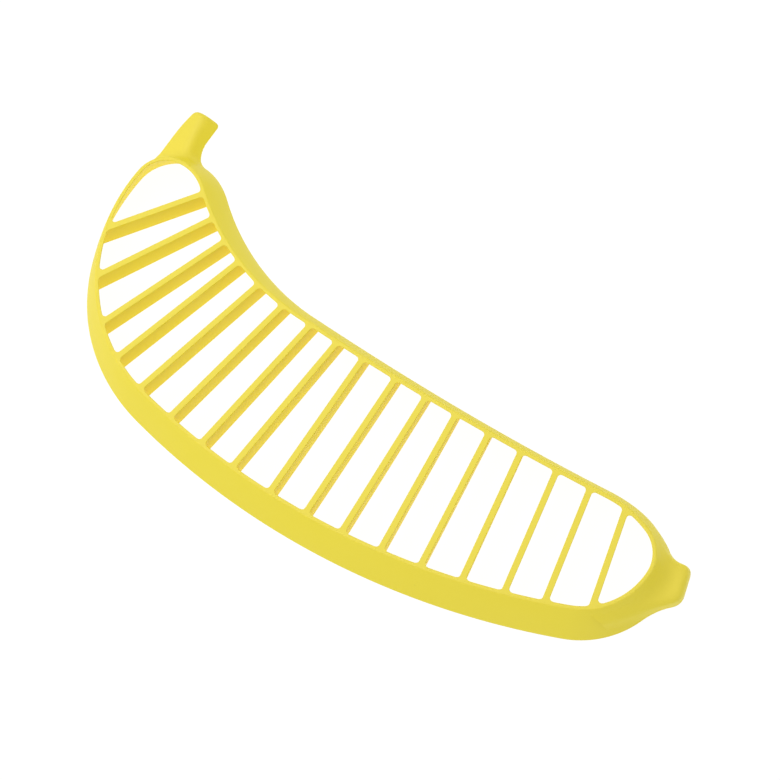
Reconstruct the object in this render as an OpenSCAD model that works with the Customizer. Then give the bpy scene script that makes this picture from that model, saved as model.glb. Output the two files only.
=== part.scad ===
// Banana slicer: a banana-shaped rim with a row of cross blades, moulded in one yellow plastic.
// It stands on the foot of its rim with the blades' flat tops up.
// +X runs from the stem to the tip, +Z is up, and the origin is at the middle of the footprint.

/* [Rim] */
// Height of the rim, from its foot to its flat top
rim_h = 18.5; // [16:0.5:22]
// Width of the flat land on top of the rim
land_w = 1.5; // [1.2:0.1:2]
// Thickness of the rim's wall, measured level
wall_t = 1.7; // [1.4:0.1:2.2]
// Bevel between the land and the outer wall
bevel = 0.4; // [0.2:0.1:0.6]
// How far the foot stands out from the opening's edge along the belly
belly_reach = 11; // [10:0.1:12]
// How far the foot stands out from the opening's edge along the back
back_reach = 6; // [5.5:0.1:7]
// Outward bow of the wall along the belly
belly_bow = 0.2; // [0:0.1:0.6]
// Outward bow of the wall along the back
back_bow = 0.8; // [0.4:0.1:1.2]

/* [Blades] */
// Depth of a blade below the land
blade_h = 11; // [8:0.5:13]
// Thickness of a blade at its flat top
blade_top_t = 2.3; // [2:0.1:2.6]
// Thickness of a blade at its cutting edge
blade_edge_t = 1.3; // [1:0.1:1.6]

/* [Stem handle] */
// Height of the stem's ridge above the foot
stem_h = 7.4; // [6.5:0.1:9]
// Height of the stem's left shoulder above the foot
stem_shoulder_h = 4.4; // [3:0.1:5]
// Width of the stem at its end
stem_w = 11.8; // [10:0.1:14]
// Extra width of the stem where it meets the rim
stem_spread = 17; // [14:0.5:21]

/* [Tip handle] */
// Height of the tip above the foot
tip_h = 9.4; // [8:0.1:11]
// Width of the tip near its end
tip_w = 14.4; // [12:0.1:17]
// Wall of the hollow stem and tip
handle_wall = 1.8; // [1.4:0.1:2.2]

/* [Hidden] */
BLADES = 17;
function two_digits(i) = str(i < 10 ? "0" : "", i);
function blade_name(i) = str("blade_", two_digits(i));
PLASTIC = [0.95, 0.87, 0.27];

// The opening's edge: arcs run anticlockwise from the belly, each one tangent to the last.
// A row is [radius, turn in degrees, foot reach at its start], and a negative radius and turn
// bend the other way. The two radii given as 0 are worked out so that the outline closes.
EDGE_HEADING = -9.9;
MID_REACH = (belly_reach + back_reach) / 2;
EDGE = [
    [0, 34.1, belly_reach],                // belly
    [26.5, 65.2, belly_reach],             // belly into the tip
    [12, 69.9, belly_reach],               // round the tip
    [37, 26.5, back_reach + 0.6],          // tip into the back
    [-1150, -6.4, back_reach - 0.6],       // back, nearly straight
    [-100, -37.8, back_reach + 0.4],       // back, the banana's hollow
    [17, 51.9, back_reach + 0.7],          // shoulder beside the stem
    [11, 71.8, MID_REACH - 0.4],           // round the stem end
    [63.6, 56, belly_reach - 2.1],         // stem side of the belly
    [0, 28.8, belly_reach + 0.2]           // stem side into the belly
];
ARCS = len(EDGE);

function sum_to(list, n, i = 0) = i >= n ? list[0] * 0 : list[i] + sum_to(list, n, i + 1);
function cross2(a, b) = a.x * b.y - a.y * b.x;

// Heading at the start of arc i, and the chord that a unit radius would give it
function arc_heading(i) = EDGE_HEADING + sum_to([for (a = EDGE) a[1]], i);
function unit_chord(i) =
    let (a = arc_heading(i), b = a + EDGE[i][1]) [sin(b) - sin(a), cos(a) - cos(b)];

// The two free radii bring the last arc's end back to the first arc's start
FIXED_CHORDS = [for (i = [0:ARCS - 1]) EDGE[i][0] * unit_chord(i)];
GAP = -sum_to(FIXED_CHORDS, ARCS);
FIRST_CHORD = unit_chord(0);
LAST_CHORD = unit_chord(ARCS - 1);
FIRST_R = cross2(GAP, LAST_CHORD) / cross2(FIRST_CHORD, LAST_CHORD);
LAST_R = cross2(FIRST_CHORD, GAP) / cross2(FIRST_CHORD, LAST_CHORD);
function arc_radius(i) = i == 0 ? FIRST_R : i == ARCS - 1 ? LAST_R : EDGE[i][0];
function arc_length(i) = arc_radius(i) * EDGE[i][1] * PI / 180;
ARC_STARTS = [for (i = [0:ARCS - 1])
    sum_to([for (j = [0:ARCS - 1]) arc_radius(j) * unit_chord(j)], i)];
EDGE_LENGTH = sum_to([for (i = [0:ARCS - 1]) arc_length(i)], ARCS);

// A place on the edge is [point, heading, foot reach], at share t of arc i
function ease(t) = (1 - cos(180 * t)) / 2;
function arc_place(i, t) =
    let (a = arc_heading(i), b = a + t * EDGE[i][1])
    [
        ARC_STARTS[i] + arc_radius(i) * [sin(b) - sin(a), cos(a) - cos(b)],
        b,
        EDGE[i][2] + (EDGE[(i + 1) % ARCS][2] - EDGE[i][2]) * ease(t)
    ];
// The same place, found by its distance along the edge
function edge_place(s, i = 0) =
    s < 0 ? edge_place(s + EDGE_LENGTH)
    : s <= arc_length(i) || i == ARCS - 1 ? arc_place(i, s / arc_length(i))
    : edge_place(s - arc_length(i), i + 1);

// Places round the whole edge, closer together where it turns sharply
STEP_LENGTH = 4;
STEP_TURN = 9;
function arc_steps(i) = ceil(max(arc_length(i) / STEP_LENGTH, abs(EDGE[i][1]) / STEP_TURN));
PLACES = [for (i = [0:ARCS - 1]) for (k = [0:arc_steps(i) - 1]) arc_place(i, k / arc_steps(i))];

// Section of the rim's wall, out from the opening's edge and up from the foot.
// The wall leans out from the land to the foot and bows a little on the way.
OVER = 1;
function bow(reach) =
    belly_bow + (back_bow - belly_bow) * (belly_reach - reach) / (belly_reach - back_reach);
function outer_wall(reach, u) = land_w + (reach - land_w) * u + bow(reach) * 4 * u * (1 - u);
function inner_wall(reach, u) = (reach - wall_t) * u + bow(reach) * 4 * u * (1 - u);
function level(u) = rim_h * (1 - u);
BLADE_U = blade_h / rim_h;
OUTER_US = [0.2, 0.4, 0.6, 0.8, 1];
function outer_section(reach) = concat(
    [[land_w - bevel, rim_h], [outer_wall(reach, bevel / rim_h) + bevel / 4, rim_h - bevel]],
    [for (u = OUTER_US) [outer_wall(reach, u), level(u)]]
);
function rim_section(reach) = concat(
    [
        [reach, -OVER],
        [reach - wall_t, -OVER],
        [reach - wall_t, 0],
        [inner_wall(reach, BLADE_U), level(BLADE_U)],
        [0, rim_h],
        [0, rim_h + OVER],
        [land_w - bevel, rim_h + OVER]
    ],
    outer_section(reach)
);
// Points of one ring at a place, from a section's [out, up] pairs
function ring(place, section) =
    [for (p = section) [place[0].x + p[0] * sin(place[1]), place[0].y - p[0] * cos(place[1]), p[1]]];

// A grid of points as triangles: rows of equal length, each joined to the next.
// Seen from the last row, each row's points run anticlockwise round the solid.
function grid_faces(rows, cols, wrap_rows) =
    [for (r = [0:rows - (wrap_rows ? 1 : 2)]) for (c = [0:cols - 1])
        let (a = r * cols, b = ((r + 1) % rows) * cols, d = (c + 1) % cols)
        each [[a + c, b + c, b + d], [a + c, b + d, a + d]]];
function flat(lists) = [for (l = lists) each l];

// Closed band swept round the opening, one ring at each place
module swept_band(rings) {
    polyhedron(flat(rings), grid_faces(len(rings), len(rings[0]), true), convexity = 10);
}
// Solid stacked from closed outlines of equal length, with flat ends
module stacked_solid(outlines) {
    n = len(outlines[0]);
    top = (len(outlines) - 1) * n;
    polyhedron(
        flat(outlines),
        concat(
            grid_faces(len(outlines), n, false),
            [[for (k = [0:n - 1]) k], [for (k = [1:n]) top + n - k]]
        ),
        convexity = 10
    );
}

// Everything inside the rim's outer surface beside a run of places, to trim a handle to the rim
module rim_envelope(places) {
    last = len(outer_section(0)) - 1;
    stacked_solid(concat(
        [[for (p = places) ring(p, [[p[2], -OVER]])[0]]],
        [for (k = [last:-1:0]) [for (p = places) ring(p, [outer_section(p[2])[k]])[0]]]
    ));
}
// The space between the walls from the land down to the cutting edges
module blade_space() {
    stacked_solid([
        for (u = [BLADE_U, 0])
            [for (p = PLACES) ring(p, [[inner_wall(p[2], u), level(u)]])[0]]
    ]);
}

// Ends of each blade, as distances along the opening's edge: [belly side, back side]
BLADE_ENDS = [
    [-68.8, 426.3], [-49.8, 415.3], [-31.3, 404.8], [-16.3, 394.8], [-1.3, 382.8],
    [14.7, 370.3], [30.2, 357.3], [44.7, 345.3], [61.2, 333.8], [76.2, 319.8],
    [90.7, 306.8], [105.7, 294.3], [120.7, 280.8], [135.7, 267.8], [150.7, 253.8],
    [164.7, 240.8], [180.7, 226.8]
];
function blade_at(i) = [for (s = BLADE_ENDS[i - 1]) edge_place(s)[0]];

// Plan of the stem, a half stem that lies on the foot's level beside the opening.
// Its left side runs on from the rim and bends in towards the end, and its right side
// spreads into the back.
STEM_SIDE_Y = 60;
STEM_LEFT = -58.6;
STEM_ROOT_Y = 76;
STEM_NECK_Y = 95;
STEM_END_Y = 104.3;
STEM_CORNER = 2;
STEM_BEND = 2.2;
STEM_BEND_Y = 90;
STEM_YS = [82, 86, STEM_BEND_Y, STEM_NECK_Y, 99, STEM_END_Y - STEM_CORNER];
RIDGE_END = 7;
RIDGE_LEAN = 0.23;
function stem_left(y) =
    STEM_LEFT + STEM_BEND * pow(max(0, y - STEM_BEND_Y) / (STEM_END_Y - STEM_BEND_Y), 2);
function stem_right(y) =
    STEM_LEFT + stem_w + stem_spread * pow(max(0, STEM_NECK_Y - y) / (STEM_NECK_Y - STEM_ROOT_Y), 2);
function ridge_x(y) = STEM_LEFT + RIDGE_END + RIDGE_LEAN * (STEM_END_Y - y);
// One cross-section of the stem, drawn in by an amount on every side
function stem_ring(y, in, down, z0) =
    [for (p = [
        [stem_right(y) - in, z0],
        [stem_left(y) + in, z0],
        [stem_left(y) + 0.9 + in, stem_shoulder_h - down],
        [ridge_x(y) - 1, stem_h - down],
        [ridge_x(y) + 1.2 - in / 2, stem_h - 0.6 - down]
    ]) [p[0], y, p[1]]];
module stem_loft(in, end, z0) {
    stacked_solid(concat(
        [stem_ring(STEM_ROOT_Y - in, in, in, z0)],
        [for (y = STEM_YS) stem_ring(min(y, end - STEM_CORNER), in, in, z0)],
        [stem_ring(end, in + STEM_CORNER / 2, in + STEM_CORNER / 2, z0)]
    ));
}

// The tip is a short tab on the foot's level, straight out from the rim
TIP_SIDE_X = 150;
TIP_AT = [193, 47.5];
TIP_HEADING = 15;
TIP_LENGTH = 6.9;
// Cross-sections as [distance out, share of the width, share of the height], and their outline
TIP_ROWS = [
    [-6, 1.45, 1.1], [0, 1.3, 1.05], [3, 1.1, 1],
    [5, 1, 0.95], [6.3, 0.86, 0.75], [TIP_LENGTH, 0.64, 0.4]
];
TIP_ARCH = [
    [-1, 0], [1, 0], [0.94, 0.6], [0.7, 0.93],
    [0.35, 1], [-0.35, 1], [-0.7, 0.93], [-0.94, 0.6]
];
function tip_ring(row, in, z0) =
    let (w = tip_w / 2 * row[1] - in, h = tip_h * row[2] - in, out = min(row[0], TIP_LENGTH - in))
    [for (p = TIP_ARCH) [out, p[0] * w, p[1] == 0 ? z0 : p[1] * h]];
module tip_loft(in, z0) {
    translate([TIP_AT.x, TIP_AT.y, 0])
        rotate([0, 0, TIP_HEADING])
            stacked_solid([for (row = TIP_ROWS) tip_ring(row, in, z0)]);
}

// The origin is at the middle of the footprint
FOOT = [for (p = PLACES) ring(p, [[p[2], 0]])[0]];
TIP_END_HALF = tip_w / 2 * TIP_ROWS[len(TIP_ROWS) - 1][1];
TIP_END_X = TIP_AT.x + TIP_LENGTH * cos(TIP_HEADING) + TIP_END_HALF * sin(TIP_HEADING);
MIDDLE = [
    (min([for (p = FOOT) p.x]) + TIP_END_X) / 2,
    (min([for (p = FOOT) p.y]) + STEM_END_Y) / 2
];
module centred() {
    translate([-MIDDLE.x, -MIDDLE.y, 0]) children();
}

module rim() {
    color(PLASTIC)
        centred()
            intersection() {
                swept_band([for (p = PLACES) ring(p, rim_section(p[2]))]);
                translate([-200, -200, 0]) cube([600, 600, rim_h]);
            }
}

module stem_handle() {
    color(PLASTIC)
        centred()
            difference() {
                stem_loft(0, STEM_END_Y, 0);
                stem_loft(handle_wall, STEM_END_Y - handle_wall, -OVER);
                rim_envelope([for (p = PLACES) if (p[0].y > STEM_SIDE_Y) p]);
            }
}

module tip_handle() {
    color(PLASTIC)
        centred()
            difference() {
                tip_loft(0, 0);
                tip_loft(handle_wall, -OVER);
                rim_envelope([for (p = PLACES) if (p[0].x > TIP_SIDE_X) p]);
            }
}

// A blade is a tapered bar from wall to wall, flush with the land
module blade(i) {
    ends = blade_at(i);
    along = ends[1] - ends[0];
    span = norm(along) + 2 * belly_reach;
    growth = (blade_top_t - blade_edge_t) / blade_h / 2;
    color(PLASTIC)
        centred()
            intersection() {
                translate([ends[0].x, ends[0].y, 0])
                    rotate([0, 0, atan2(along.y, along.x)])
                        translate([-belly_reach, 0, rim_h])
                            rotate([90, 0, 90])
                                linear_extrude(span)
                                    polygon([
                                        [-blade_top_t / 2 - growth, 1],
                                        [blade_top_t / 2 + growth, 1],
                                        [blade_edge_t / 2 - growth, -blade_h - 1],
                                        [-blade_edge_t / 2 + growth, -blade_h - 1]
                                    ]);
                blade_space();
            }
}

rim();
stem_handle();
tip_handle();
for (i = [1:BLADES]) blade(i);
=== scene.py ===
"""Looks of the banana slicer: one yellow plastic moulding, on a white table in soft studio light.

Shapes are in millimetres in the plan in which the opening's edge starts at the origin, until
build_piece() shifts them into the frame and scales them to metres. Heights go up from the foot.
The camera, the lights and the floor are in the frame, in metres.
"""

import bpy
import numpy as np
from mathutils import Matrix, Vector

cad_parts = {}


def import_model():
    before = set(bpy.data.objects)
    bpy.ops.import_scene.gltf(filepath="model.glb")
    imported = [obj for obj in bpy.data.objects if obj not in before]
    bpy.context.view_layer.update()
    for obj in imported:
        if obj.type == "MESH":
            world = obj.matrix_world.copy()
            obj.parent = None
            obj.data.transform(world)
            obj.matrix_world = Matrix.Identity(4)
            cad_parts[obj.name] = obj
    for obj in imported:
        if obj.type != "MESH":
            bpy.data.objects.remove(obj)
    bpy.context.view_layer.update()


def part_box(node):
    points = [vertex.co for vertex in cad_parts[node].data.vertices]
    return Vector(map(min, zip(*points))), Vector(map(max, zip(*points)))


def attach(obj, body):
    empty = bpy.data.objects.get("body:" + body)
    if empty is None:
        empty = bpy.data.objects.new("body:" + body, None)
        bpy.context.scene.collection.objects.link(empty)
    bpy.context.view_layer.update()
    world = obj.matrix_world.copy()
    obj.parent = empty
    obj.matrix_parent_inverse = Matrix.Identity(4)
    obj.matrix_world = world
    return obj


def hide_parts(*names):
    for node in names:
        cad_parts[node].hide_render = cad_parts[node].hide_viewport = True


MM = 0.001

# ---------------------------------------------------------------- the rim's sizes
RIM_H = 18.5
LAND_W = 1.5
WALL_T = 1.3
# How far the foot stands out from the opening's edge, then how far the wall bows out half way up
BELLY_REACH = 11.0
BACK_REACH = 6.2
MID_REACH = 8.5
BELLY_BOW = 0.2
BACK_BOW = 0.8
LAND_ROUND = 0.7
FOOT_ROUND = 0.3
EDGE_ROUND = 0.25
# The land lies this little below the blades' tops, which run on over it
LAND_H = RIM_H - 0.01

# ---------------------------------------------------------------- the blades' sizes
BLADE_H = 11.0
BLADE_TOP_T = 2.3
BLADE_EDGE_T = 1.3
BLADE_FILLET = 1.2
CUT_ROUND = 0.4
# How deep the blades and the handles run into the rim's wall
BURIED = 0.5

# ---------------------------------------------------------------- the handles' sizes
HANDLE_WALL = 1.8
# The blend of a handle into the rim's wall, at the foot, and its growth for each mm of height
BLEND = 2.5
BLEND_RISE = 0.25

STEM_LEFT = -59.0
STEM_BEND = 1.6
STEM_BEND_Y = 90.0
STEM_END_Y = 103.35
STEM_END_SLANT = 0.085
STEM_W = 12.5
STEM_SPREAD = 17.0
STEM_ROOT_Y = 76.0
STEM_NECK_Y = 95.0
STEM_H = 7.4
STEM_SHOULDER_H = 4.8
# The ridge between the stem's two facets: its distance from the left side at the end of the
# stem, and how much that grows for each mm towards the rim
RIDGE_END = 7.0
RIDGE_LEAN = 0.23
RIDGE_ROUND = 3.5
RIDGE_TOP_W = 0.5
# Drafts are the lean of a side for each mm of height; rounds are how soft an edge is
STEM_SIDE_DRAFT = 0.2
STEM_END_DRAFT = 0.12
STEM_SIDE_ROUND = 0.8
STEM_END_ROUND = 2.2

TIP_AT = np.array([193.0, 47.5])
TIP_HEADING = np.radians(15)
TIP_LENGTH = 7.4
# Distances of the tip's two sides from its axis; the upper one closes in and the lower one slants
TIP_UPPER = 9.0
TIP_LOWER = -9.9
TIP_CLOSING = 0.06
TIP_SLANT = 0.65
TIP_H = 9.4
TIP_FALL = 0.04
TIP_SIDE_DRAFT = 0.15
TIP_END_DRAFT = 0.2
TIP_UPPER_ROUND = 3.5
TIP_LOWER_ROUND = 2.7
TIP_TOP_ROUND = 3.0

# ---------------------------------------------------------------- the outline
# Which way the opening's edge heads at its start, in degrees
EDGE_HEADING = -9.9
# The opening's edge as tangent arcs: [radius, turn in degrees, foot reach at its start].
# The two radii given as 0 are worked out so that the outline closes.
EDGE = np.array([
    [0, 34.1, BELLY_REACH],
    [26.5, 65.2, BELLY_REACH],
    [12, 69.9, BELLY_REACH],
    [37, 26.5, BACK_REACH + 0.6],
    [-1150, -6.4, BACK_REACH - 0.6],
    [-100, -37.8, BACK_REACH + 0.4],
    [17, 51.9, BACK_REACH + 0.7],
    [11, 71.8, MID_REACH - 0.4],
    [63.6, 56, BELLY_REACH - 2.1],
    [0, 28.8, BELLY_REACH + 0.2],
])
# Ends of each blade, as distances along the opening's edge: [belly side, back side]
BLADE_ENDS = [
    [-68.8, 426.3], [-49.8, 415.3], [-31.3, 404.8], [-16.3, 394.8], [-1.3, 382.8],
    [14.7, 370.3], [30.2, 357.3], [44.7, 345.3], [61.2, 333.8], [76.2, 319.8],
    [90.7, 306.8], [105.7, 294.3], [120.7, 280.8], [135.7, 267.8], [150.7, 253.8],
    [164.7, 240.8], [180.7, 226.8],
]

# ---------------------------------------------------------------- the looks
PLASTIC_DEEP = (0.96, 0.8, 0.006, 1)
PLASTIC_PALE = (0.98, 0.825, 0.014, 1)
# Paler colour painted on faces that look up: a painted sheen, as if light from above falls on them
PLASTIC_PAINTED_SHEEN = (0.92, 0.77, 0.085, 1)
SPECK = (0.35, 0.26, 0.03, 1)
PLASTIC_ROUGHNESS = (0.45, 0.58)
PLASTIC_GLOSS = 0.22

FLOOR_DARK = (0.05, 0.05, 0.05, 1)
FLOOR_LIGHT = (0.07, 0.07, 0.07, 1)
FLOOR_SIDE = 2.0
# The floor lies this little below the foot, so that their faces don't fight
FLOOR_GAP = 0.0003
FLOOR_GLOW = 0.97
WORLD_LIGHT = 0.49

# Each softbox: place, side and power
SOFTBOXES = {
    "key": [(-0.4, -0.3, 0.8), 0.9, 2.6],
    "overhead": [(-0.21, 0.13, 0.92), 0.6, 2.6],
}

CAMERA_AT = (0.09887, -0.0599, 0.44666)
CAMERA_TARGET = (0.00592, 0.0046, 0.0185)
CAMERA_ROLL = np.radians(-21.3)
SENSOR_W = 36
CAMERA_LENS = SENSOR_W * 1240 / 780


# ---------------------------------------------------------------- the opening's edge
def unit_chords(headings, turns):
    """Chords that arcs of unit radius draw, from their start headings and turns in radians."""
    ends = headings + turns
    return np.stack([np.sin(ends) - np.sin(headings), np.cos(headings) - np.cos(ends)], axis=-1)


class Edge:
    """The opening's edge, with the two free radii solved, and its places by distance."""

    def __init__(self):
        self.turns = np.radians(EDGE[:, 1])
        self.headings = np.radians(EDGE_HEADING) + np.concatenate([[0], np.cumsum(self.turns)[:-1]])
        chords = unit_chords(self.headings, self.turns)
        self.radii = EDGE[:, 0].copy()
        gap = -(self.radii[:, None] * chords).sum(0)
        self.radii[[0, -1]] = np.linalg.solve(chords[[0, -1]].T, gap)
        self.starts = np.concatenate([[[0, 0]], np.cumsum(self.radii[:, None] * chords, axis=0)[:-1]])
        self.lengths = self.radii * self.turns
        self.distances = np.concatenate([[0], np.cumsum(self.lengths)])
        self.total = self.distances[-1]
        self.reaches = EDGE[:, 2]

    def places(self, s):
        """Points, headings and foot reaches at distances s along the edge."""
        s = np.mod(s, self.total)
        i = np.clip(np.searchsorted(self.distances, s, side="right") - 1, 0, len(EDGE) - 1)
        t = (s - self.distances[i]) / self.lengths[i]
        turned = t * self.turns[i]
        points = self.starts[i] + self.radii[i, None] * unit_chords(self.headings[i], turned)
        following = self.reaches[(i + 1) % len(EDGE)]
        reaches = self.reaches[i] + (following - self.reaches[i]) * (1 - np.cos(np.pi * t)) / 2
        return points, self.headings[i] + turned, reaches


EDGE_LINE = Edge()


def outward(headings):
    """Unit vectors out of the opening, at right angles to the headings."""
    return np.stack([np.sin(headings), -np.cos(headings)], axis=-1)


# ---------------------------------------------------------------- the rim's section
def bow(reach):
    return BELLY_BOW + (BACK_BOW - BELLY_BOW) * (BELLY_REACH - reach) / (BELLY_REACH - BACK_REACH)


def outer_wall(reach, height):
    """How far the outer wall stands from the opening's edge at a height."""
    u = 1 - height / RIM_H
    return LAND_W + (reach - LAND_W) * u + bow(reach) * 4 * u * (1 - u)


def inner_wall(reach, height):
    """The same for the inner wall."""
    u = 1 - height / RIM_H
    return (reach - WALL_T) * u + bow(reach) * 4 * u * (1 - u)


def arc_through(centre, start, end, steps):
    """Points on the short arc round a centre from start to end, both included."""
    a = np.arctan2(start[1] - centre[1], start[0] - centre[0])
    b = np.arctan2(end[1] - centre[1], end[0] - centre[0])
    angles = a + ((b - a + np.pi) % (2 * np.pi) - np.pi) * np.linspace(0, 1, steps)
    radius = np.linalg.norm(start - centre)
    return centre + radius * np.stack([np.cos(angles), np.sin(angles)], axis=-1)


def corner_arc(corner, back, forward, radius, steps):
    """The arc that rounds a corner, from unit vectors back and forward along its two sides."""
    half = np.arccos(np.clip(back @ forward, -1, 1)) / 2
    middle = (back + forward) / np.linalg.norm(back + forward)
    reach = radius / np.tan(half)
    centre = corner + middle * radius / np.sin(half)
    return arc_through(centre, corner + back * reach, corner + forward * reach, steps)


def unit(v):
    return v / np.linalg.norm(v)


def rounded_outline(corners, radii, steps):
    """A closed outline whose corners are rounded, each by its own radius; 0 keeps the corner."""
    pieces = []
    for k, (corner, radius) in enumerate(zip(corners, radii)):
        if radius == 0:
            pieces.append(corner[None])
            continue
        back = unit(corners[k - 1] - corner)
        forward = unit(corners[(k + 1) % len(corners)] - corner)
        pieces.append(corner_arc(corner, back, forward, radius, steps))
    return np.concatenate(pieces)


# ---------------------------------------------------------------- the rim
RIM_STEP = 1.0
WALL_HEIGHTS = np.linspace(1, 17, 9)


def rim_section(reach):
    """The rim's closed section at a place, as [out, up] points, with its edges rounded."""
    inner = [[inner_wall(reach, h), h] for h in WALL_HEIGHTS[::-1]]
    outer = [[outer_wall(reach, h), h] for h in WALL_HEIGHTS]
    corners = [[0, LAND_H], *inner, [reach - WALL_T, 0], [reach, 0], *outer, [LAND_W, LAND_H]]
    none = [0] * len(WALL_HEIGHTS)
    radii = [EDGE_ROUND, *none, FOOT_ROUND, FOOT_ROUND, *none, LAND_ROUND]
    return rounded_outline(np.array(corners, float), radii, 5)


def swept_faces(rows, columns, closed_rows):
    """Quads between neighbouring rows of points, each row a closed ring."""
    faces = []
    for r in range(rows if closed_rows else rows - 1):
        low, high = r * columns, (r + 1) % rows * columns
        for c in range(columns):
            d = (c + 1) % columns
            faces.append((low + c, low + d, high + d, high + c))
    return faces


def rim_geometry():
    points, headings, reaches = EDGE_LINE.places(np.arange(0, EDGE_LINE.total, RIM_STEP))
    rings = []
    for point, normal, reach in zip(points, outward(headings), reaches):
        section = rim_section(reach)
        plan = point + section[:, :1] * normal
        rings.append(np.column_stack([plan, section[:, 1]]))
    return np.concatenate(rings[::-1]), swept_faces(len(rings), len(rings[0]), True)


# ---------------------------------------------------------------- the blades
ARC_STEPS = 7
WALL_STEP = 0.25


def wall_line(height, inset):
    """The inner wall's line at a height, moved out by inset, with its distances and headings."""
    s = np.arange(0, EDGE_LINE.total, WALL_STEP)
    points, headings, reaches = EDGE_LINE.places(s)
    return points + outward(headings) * (inner_wall(reaches, height) + inset)[:, None], headings


def blade_corner(wall, end, origin, along, side, half_width, radius):
    """The fillet where one side of a blade meets the wall, from the blade to the wall, and a
    point buried in the wall behind its end. along points away from the wall."""
    points, headings = wall
    near = int(round(end / WALL_STEP)) + np.arange(-48, 49)
    near %= len(points)
    beyond = (points[near] - origin) @ side - half_width
    crossings = np.flatnonzero((beyond[:-1] < 0) != (beyond[1:] < 0))
    k = crossings[np.argmin(np.abs(crossings - 48))]
    share = beyond[k] / (beyond[k] - beyond[k + 1])
    a, b = points[near[k]], points[near[k + 1]]
    corner = a + (b - a) * share
    way = 1 if (b - a) @ side > 0 else -1
    tangent = unit(b - a) * way
    arc = corner_arc(corner, along, tangent, radius, ARC_STEPS)
    reach = np.linalg.norm(arc[-1] - corner)
    place = k + share + way * reach / WALL_STEP
    low = int(np.floor(place))
    i, j = near[low], near[low + 1]
    landing = points[i] + (points[j] - points[i]) * (place - low)
    arc += (landing - arc[-1]) * (np.linspace(0, 1, ARC_STEPS) ** 2)[:, None]
    return arc, landing + outward(headings[i]) * BURIED


def blade_outline(ends, wall, half_width, radius):
    """A blade's outline at one height, anticlockwise, from the fillet at its belly end."""
    (start, finish), _, _ = EDGE_LINE.places(np.array(ends, float))
    along = unit(finish - start)
    side = np.array([-along[1], along[0]])

    def corner(end, direction, way):
        return blade_corner(wall, end, start, direction, side * way, half_width, radius)

    right_near, right_near_in = corner(ends[0], along, -1)
    right_far, right_far_in = corner(ends[1], -along, -1)
    left_far, left_far_in = corner(ends[1], -along, 1)
    left_near, left_near_in = corner(ends[0], along, 1)
    return np.concatenate([
        right_near_in[None], right_near[::-1], right_far, right_far_in[None],
        left_far_in[None], left_far[::-1], left_near, left_near_in[None],
    ])


def blade_rows():
    """Depth below the land, half width and inset of each outline, from the cutting edge up."""
    turn = np.linspace(0, np.pi / 2, 5)
    top = np.column_stack([EDGE_ROUND * (1 - np.cos(turn)), EDGE_ROUND * (1 - np.sin(turn))])
    edge = np.column_stack([
        BLADE_H - CUT_ROUND * (1 - np.cos(turn)), CUT_ROUND * (1 - np.sin(turn))])
    middle = np.column_stack([np.linspace(1, BLADE_H - 1, 6), np.zeros(6)])
    rows = np.concatenate([edge, middle[::-1], top[::-1]])
    taper = (BLADE_TOP_T + (BLADE_EDGE_T - BLADE_TOP_T) * rows[:, 0] / BLADE_H) / 2
    return [(depth, half - inset, inset) for (depth, inset), half in zip(rows, taper)]


def stacked_geometry(outlines):
    """Outlines of equal length, joined from the lowest up and closed at both ends."""
    n = len(outlines[0])
    faces = swept_faces(len(outlines), n, False)
    faces.append(tuple(range(n))[::-1])
    faces.append(tuple((len(outlines) - 1) * n + k for k in range(n)))
    return np.concatenate(outlines), faces


def blades_geometry():
    """The geometry of every blade. Their rows share heights, so each wall line is found once."""
    outlines = [[] for _ in BLADE_ENDS]
    for depth, half_width, inset in blade_rows():
        wall = wall_line(RIM_H - depth, inset)
        for k, ends in enumerate(BLADE_ENDS):
            plan = blade_outline(ends, wall, half_width, BLADE_FILLET + inset)
            height = np.full((len(plan), 1), RIM_H - depth)
            outlines[k].append(np.hstack([plan, height]))
    return [stacked_geometry(rows) for rows in outlines]


# ---------------------------------------------------------------- the handles
NET_CELL = 0.35
NET_ROUNDS = 3
# A handle's skin lies this far inside the rim's wall where it fades out
SKIN_DEPTH = 0.03
# Turns a level distance from the leaning wall into one at right angles to it
WALL_COS = 0.88
# The boxes in which the two skins are looked for: low and high corners
STEM_BOX = [(-64, 66, -0.7), (-28, 107, 18)]
TIP_BOX = [(172, 22, -0.7), (203, 64, 18)]


def smooth_max(a, b, k):
    """The larger of two fields, with the edge between them rounded over about k."""
    return np.maximum(a, b) + np.maximum(k - np.abs(a - b), 0) ** 2 / (4 * k)


def smooth_min(a, b, k):
    return -smooth_max(-a, -b, k)


def edge_distance(x, y):
    """Distance out from the opening's edge, and the foot reach there, for a plan grid."""
    points, headings, reaches = EDGE_LINE.places(np.arange(0, EDGE_LINE.total, 0.5))
    normals = outward(headings)
    flat = np.column_stack([x.ravel(), y.ravel()])
    nearest = np.array([np.argmin(((points - p) ** 2).sum(1)) for p in flat])
    offset = flat - points[nearest]
    distance = np.linalg.norm(offset, axis=1) * np.sign((offset * normals[nearest]).sum(1))
    return distance.reshape(x.shape), reaches[nearest].reshape(x.shape)


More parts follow.
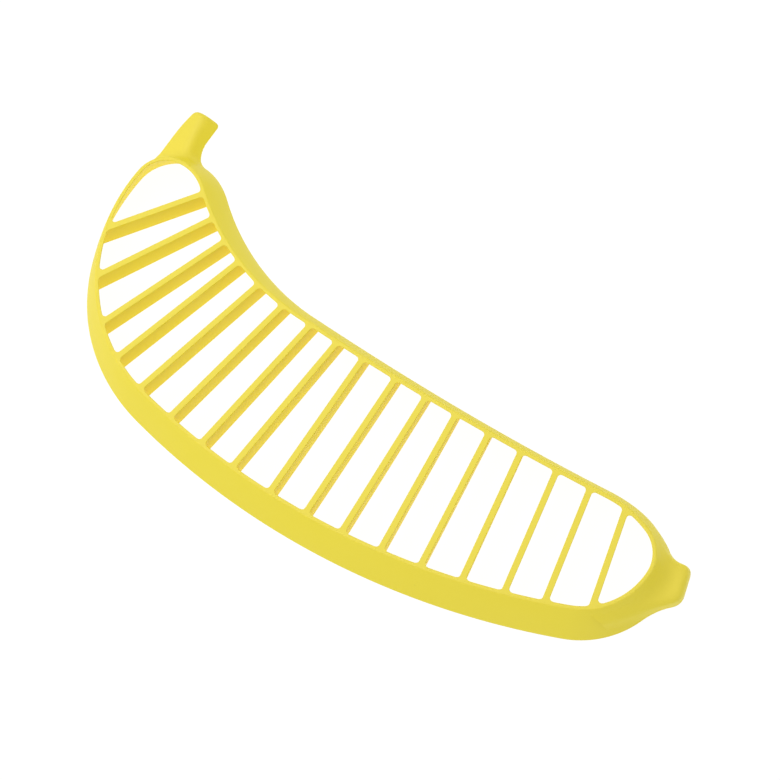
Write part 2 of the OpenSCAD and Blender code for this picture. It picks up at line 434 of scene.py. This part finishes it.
def stem_field(x, y, z, inset):
    """Below 0 inside the stem, drawn in by inset all round."""
    spread = np.maximum(0, STEM_NECK_Y - y) / (STEM_NECK_Y - STEM_ROOT_Y)
    right = STEM_LEFT + STEM_W + STEM_SPREAD * spread ** 2
    ridge = STEM_LEFT + RIDGE_END + RIDGE_LEAN * (STEM_END_Y - y)
    bend = STEM_BEND * (np.maximum(0, y - STEM_BEND_Y) / (STEM_END_Y - STEM_BEND_Y)) ** 2
    side = STEM_LEFT + bend + STEM_SIDE_DRAFT * z - x
    facet_slope = (STEM_H - STEM_SHOULDER_H) / (ridge - STEM_LEFT)
    facet = (z - STEM_SHOULDER_H - facet_slope * (x - STEM_LEFT)) / np.hypot(1, facet_slope)
    fall = (right - ridge - RIDGE_TOP_W) / STEM_H
    slope = (x - right + fall * z) / np.hypot(1, fall)
    end = y - STEM_END_Y - STEM_END_SLANT * (x - STEM_LEFT) + STEM_END_DRAFT * z
    top = smooth_max(facet, slope, RIDGE_ROUND)
    walls = smooth_max(side, top, STEM_SIDE_ROUND)
    return smooth_max(walls, end, STEM_END_ROUND) + inset


def tip_field(x, y, z, inset):
    """Below 0 inside the tip, drawn in by inset all round."""
    u = (x - TIP_AT[0]) * np.cos(TIP_HEADING) + (y - TIP_AT[1]) * np.sin(TIP_HEADING)
    v = (y - TIP_AT[1]) * np.cos(TIP_HEADING) - (x - TIP_AT[0]) * np.sin(TIP_HEADING)
    upper = v - TIP_UPPER + TIP_CLOSING * u + TIP_SIDE_DRAFT * z
    lower = (TIP_LOWER - v + TIP_SLANT * u) / np.hypot(1, TIP_SLANT) + TIP_SIDE_DRAFT * z
    end = u - TIP_LENGTH + TIP_END_DRAFT * z
    plan = smooth_max(smooth_max(upper, end, TIP_UPPER_ROUND), lower, TIP_LOWER_ROUND)
    return smooth_max(plan, z - TIP_H + TIP_FALL * u, TIP_TOP_ROUND) + inset


def handle_field(x, y, z, rim, handle):
    """Below 0 in a hollow handle, blended into the rim's outer wall and buried a little in it."""
    distance, reach = rim
    wall = (distance[:, :, None] - outer_wall(reach[:, :, None], z)) * WALL_COS
    body = handle(x, y, z, 0)
    blend = BLEND + BLEND_RISE * z
    outside = smooth_min(wall + SKIN_DEPTH, body, blend)
    hollow = handle(x, y, z, HANDLE_WALL)
    return np.maximum.reduce([outside, -hollow, -z, -wall - BURIED, body - blend - 1])


def surface_net(values, low, cell):
    """The surface where a grid of values is zero: a point in each crossed cell, and a quad round
    each crossed edge of the grid."""
    inside = values < 0
    total = np.zeros(tuple(np.array(values.shape) - 1) + (3,))
    count = np.zeros(total.shape[:3])
    crossed = []
    for axis in range(3):
        a = np.moveaxis(values, axis, 0)
        crossing = (a[:-1] < 0) != (a[1:] < 0)
        at = np.argwhere(crossing)
        share = a[:-1][crossing] / (a[:-1][crossing] - a[1:][crossing])
        at = np.column_stack([at[:, 1:axis + 1], at[:, 0], at[:, axis + 1:]])
        place = at.astype(float)
        place[:, axis] += share
        ends = [k for k in range(3) if k != axis]
        keep = np.all((at[:, ends] > 0) & (at[:, ends] < np.array(values.shape)[ends] - 1), axis=1)
        at, place = at[keep], place[keep]
        for i in (0, 1):
            for j in (0, 1):
                cells = at.copy()
                cells[:, ends[0]] -= i
                cells[:, ends[1]] -= j
                np.add.at(total, tuple(cells.T), place)
                np.add.at(count, tuple(cells.T), 1)
        crossed.append((at, ends, inside[tuple(at.T)]))
    number = np.full(count.shape, -1)
    number[count > 0] = np.arange((count > 0).sum())
    points = low + cell * total[count > 0] / count[count > 0][:, None]
    faces = []
    for axis, (at, ends, starts_inside) in enumerate(crossed):
        quad = []
        for i, j in ((0, 0), (1, 0), (1, 1), (0, 1)):
            cells = at.copy()
            cells[:, ends[0]] -= i
            cells[:, ends[1]] -= j
            quad.append(number[tuple(cells.T)])
        quad = np.column_stack(quad)
        flip = starts_inside if axis != 1 else ~starts_inside
        quad[~flip] = quad[~flip][:, ::-1]
        faces.append(quad)
    return points, np.concatenate(faces)


def relaxed(points, faces, rounds):
    """The points drawn towards the mean of their neighbours, which evens out the grid's steps."""
    pairs = np.concatenate([faces[:, [k, (k + 1) % 4]] for k in range(4)])
    pairs = np.concatenate([pairs, pairs[:, ::-1]])
    for _ in range(rounds):
        total = np.zeros_like(points)
        count = np.zeros((len(points), 1))
        np.add.at(total, pairs[:, 0], points[pairs[:, 1]])
        np.add.at(count, pairs[:, 0], 1)
        points = (points + total / count) / 2
    return points


def handle_geometry(low, high, handle):
    """A handle's smooth skin, found inside the box from low to high."""
    axes = [np.arange(a, b, NET_CELL) for a, b in zip(low, high)]
    x, y, z = np.meshgrid(*axes, indexing="ij")
    rim = edge_distance(x[:, :, 0], y[:, :, 0])
    values = handle_field(x, y, z, rim, handle)
    points, faces = surface_net(values, np.array(low, float), NET_CELL)
    return relaxed(points, faces, NET_ROUNDS), faces.tolist()


def stem_geometry():
    return handle_geometry(*STEM_BOX, stem_field)


def tip_geometry():
    return handle_geometry(*TIP_BOX, tip_field)


# ---------------------------------------------------------------- blender
def build_piece(name, geometry, shift, material):
    """A smooth piece in the row frame, whose big faces keep their own normals."""
    vertices, faces = geometry
    mesh = bpy.data.meshes.new(name)
    mesh.from_pydata(((vertices + shift) * MM).tolist(), [], faces)
    mesh.validate()
    mesh.update()
    mesh.shade_smooth()
    normals = np.zeros((len(mesh.vertices), 3))
    for face in mesh.polygons:
        normals[list(face.vertices)] += np.array(face.normal) * face.area
    normals /= np.linalg.norm(normals, axis=1)[:, None]
    mesh.normals_split_custom_set_from_vertices(normals.tolist())
    mesh.materials.append(material)
    piece = bpy.data.objects.new(name, mesh)
    bpy.context.scene.collection.objects.link(piece)
    return piece


def add_node(tree, kind, inputs, **settings):
    """A node with its settings, whose inputs are given values or linked from other sockets."""
    node = tree.nodes.new(kind)
    for key, value in settings.items():
        setattr(node, key, value)
    for key, source in inputs.items():
        if isinstance(source, bpy.types.NodeSocket):
            tree.links.new(source, node.inputs[key])
        else:
            node.inputs[key].default_value = source
    return node


def noise(tree, where, scale, detail):
    """Noise whose features are about 1 / scale metres across."""
    inputs = {"Vector": where, "Scale": scale, "Detail": detail}
    return add_node(tree, "ShaderNodeTexNoise", inputs).outputs["Fac"]


def map_range(tree, value, start, end, low=0.0, high=1.0):
    """A value that goes from low to high while the given one goes from start to end."""
    limits = {"From Min": start, "From Max": end, "To Min": low, "To Max": high}
    return add_node(tree, "ShaderNodeMapRange", {"Value": value, **limits}).outputs["Result"]


def mix_colours(tree, share, base, other):
    inputs = {"Factor": share, "A": base, "B": other}
    return add_node(tree, "ShaderNodeMix", inputs, data_type="RGBA").outputs["Result"]


def bump(tree, height, strength, distance, **under):
    """A normal tilted by a height, on top of another bump where one is given as Normal."""
    inputs = {"Height": height, "Strength": strength, "Distance": distance, **under}
    return add_node(tree, "ShaderNodeBump", inputs).outputs["Normal"]


def new_material(name):
    material = bpy.data.materials.new(name)
    material.use_nodes = True
    tree = material.node_tree
    return material, tree, tree.nodes["Principled BSDF"]


def plastic_material():
    """Yellow moulded plastic: slow colour drift, faint specks, a paler painted sheen on faces that
    look up, patches of polish, a fine grain and slow ripples."""
    material, tree, shader = new_material("yellow_plastic")
    where = add_node(tree, "ShaderNodeTexCoord", {}).outputs["Object"]

    drift = map_range(tree, noise(tree, where, 14, 2), 0.3, 0.7)
    tint = mix_colours(tree, drift, PLASTIC_DEEP, PLASTIC_PALE)
    rare = map_range(tree, noise(tree, where, 420, 1), 0.79, 0.83, high=0.2)
    specked = mix_colours(tree, rare, tint, SPECK)
    # The more a face looks up, the more of the paler colour it gets: painted sheen from light above
    normal = add_node(tree, "ShaderNodeNewGeometry", {}).outputs["Normal"]
    upward = add_node(tree, "ShaderNodeSeparateXYZ", {"Vector": normal}).outputs["Z"]
    painted_sheen = mix_colours(tree, map_range(tree, upward, 0.1, 1), specked, PLASTIC_PAINTED_SHEEN)
    tree.links.new(painted_sheen, shader.inputs["Base Color"])

    polish = map_range(tree, noise(tree, where, 55, 4), 0, 1, *PLASTIC_ROUGHNESS)
    tree.links.new(polish, shader.inputs["Roughness"])

    grain = bump(tree, noise(tree, where, 500, 1), 0.05, 0.00002)
    ripples = bump(tree, noise(tree, where, 70, 1), 0.1, 0.0004, Normal=grain)
    tree.links.new(ripples, shader.inputs["Normal"])

    shader.inputs["Specular IOR Level"].default_value = PLASTIC_GLOSS
    return material


def floor_material():
    """A white table lit up from within a little, so that it stays white all round the slicer."""
    material, tree, shader = new_material("white_table")
    mottle = add_node(tree, "ShaderNodeTexNoise", {"Scale": 3.0}).outputs["Fac"]
    shade = mix_colours(tree, mottle, FLOOR_DARK, FLOOR_LIGHT)
    tree.links.new(shade, shader.inputs["Base Color"])
    shader.inputs["Roughness"].default_value = 0.9
    shader.inputs["Emission Color"].default_value = (1, 1, 1, 1)
    shader.inputs["Emission Strength"].default_value = FLOOR_GLOW
    return material


def add_floor():
    mesh = bpy.data.meshes.new("floor")
    ways = ((-1, -1), (1, -1), (1, 1), (-1, 1))
    corners = [(FLOOR_SIDE * x, FLOOR_SIDE * y, -FLOOR_GAP) for x, y in ways]
    mesh.from_pydata(corners, [], [(0, 1, 2, 3)])
    mesh.materials.append(floor_material())
    floor = bpy.data.objects.new("floor", mesh)
    bpy.context.scene.collection.objects.link(floor)


def aim(thing, location, target, roll=0.0):
    """Puts a light or camera at a location, facing a target, turned by roll about its own axis."""
    direction = Vector(target) - Vector(location)
    turn = direction.to_track_quat("-Z", "Y").to_matrix().to_4x4()
    thing.matrix_world = Matrix.Translation(location) @ turn @ Matrix.Rotation(roll, 4, "Z")


def add_softbox(name, location, size, power):
    """A square light that faces the origin."""
    light = bpy.data.lights.new(name, "AREA")
    light.shape = "SQUARE"
    light.size = size
    light.energy = power
    thing = bpy.data.objects.new(name, light)
    bpy.context.scene.collection.objects.link(thing)
    aim(thing, location, (0, 0, 0))


def add_camera():
    camera = bpy.data.cameras.new("camera")
    camera.lens = CAMERA_LENS
    camera.sensor_width = SENSOR_W
    thing = bpy.data.objects.new("camera", camera)
    bpy.context.scene.collection.objects.link(thing)
    aim(thing, CAMERA_AT, CAMERA_TARGET, CAMERA_ROLL)
    bpy.context.scene.camera = thing


def add_world():
    world = bpy.data.worlds.new("studio")
    world.use_nodes = True
    background = world.node_tree.nodes["Background"]
    background.inputs["Color"].default_value = (1, 1, 1, 1)
    background.inputs["Strength"].default_value = WORLD_LIGHT
    bpy.context.scene.world = world


def main():
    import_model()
    material = plastic_material()

    rim = rim_geometry()
    low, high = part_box("rim")
    shift = np.array(low) / MM - rim[0].min(0)
    shift[2] = 0
    parts = {"rim": rim, "stem_handle": stem_geometry(), "tip_handle": tip_geometry()}
    for k, geometry in enumerate(blades_geometry(), 1):
        parts[f"blade_{k:02d}"] = geometry
    for node, geometry in parts.items():
        piece = build_piece("moulded_" + node, geometry, shift, material)
        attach(piece, "root")
        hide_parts(node)

    add_floor()
    add_world()
    for name, softbox in SOFTBOXES.items():
        add_softbox(name, *softbox)
    add_camera()
    bpy.context.scene.view_settings.view_transform = "Standard"


main()
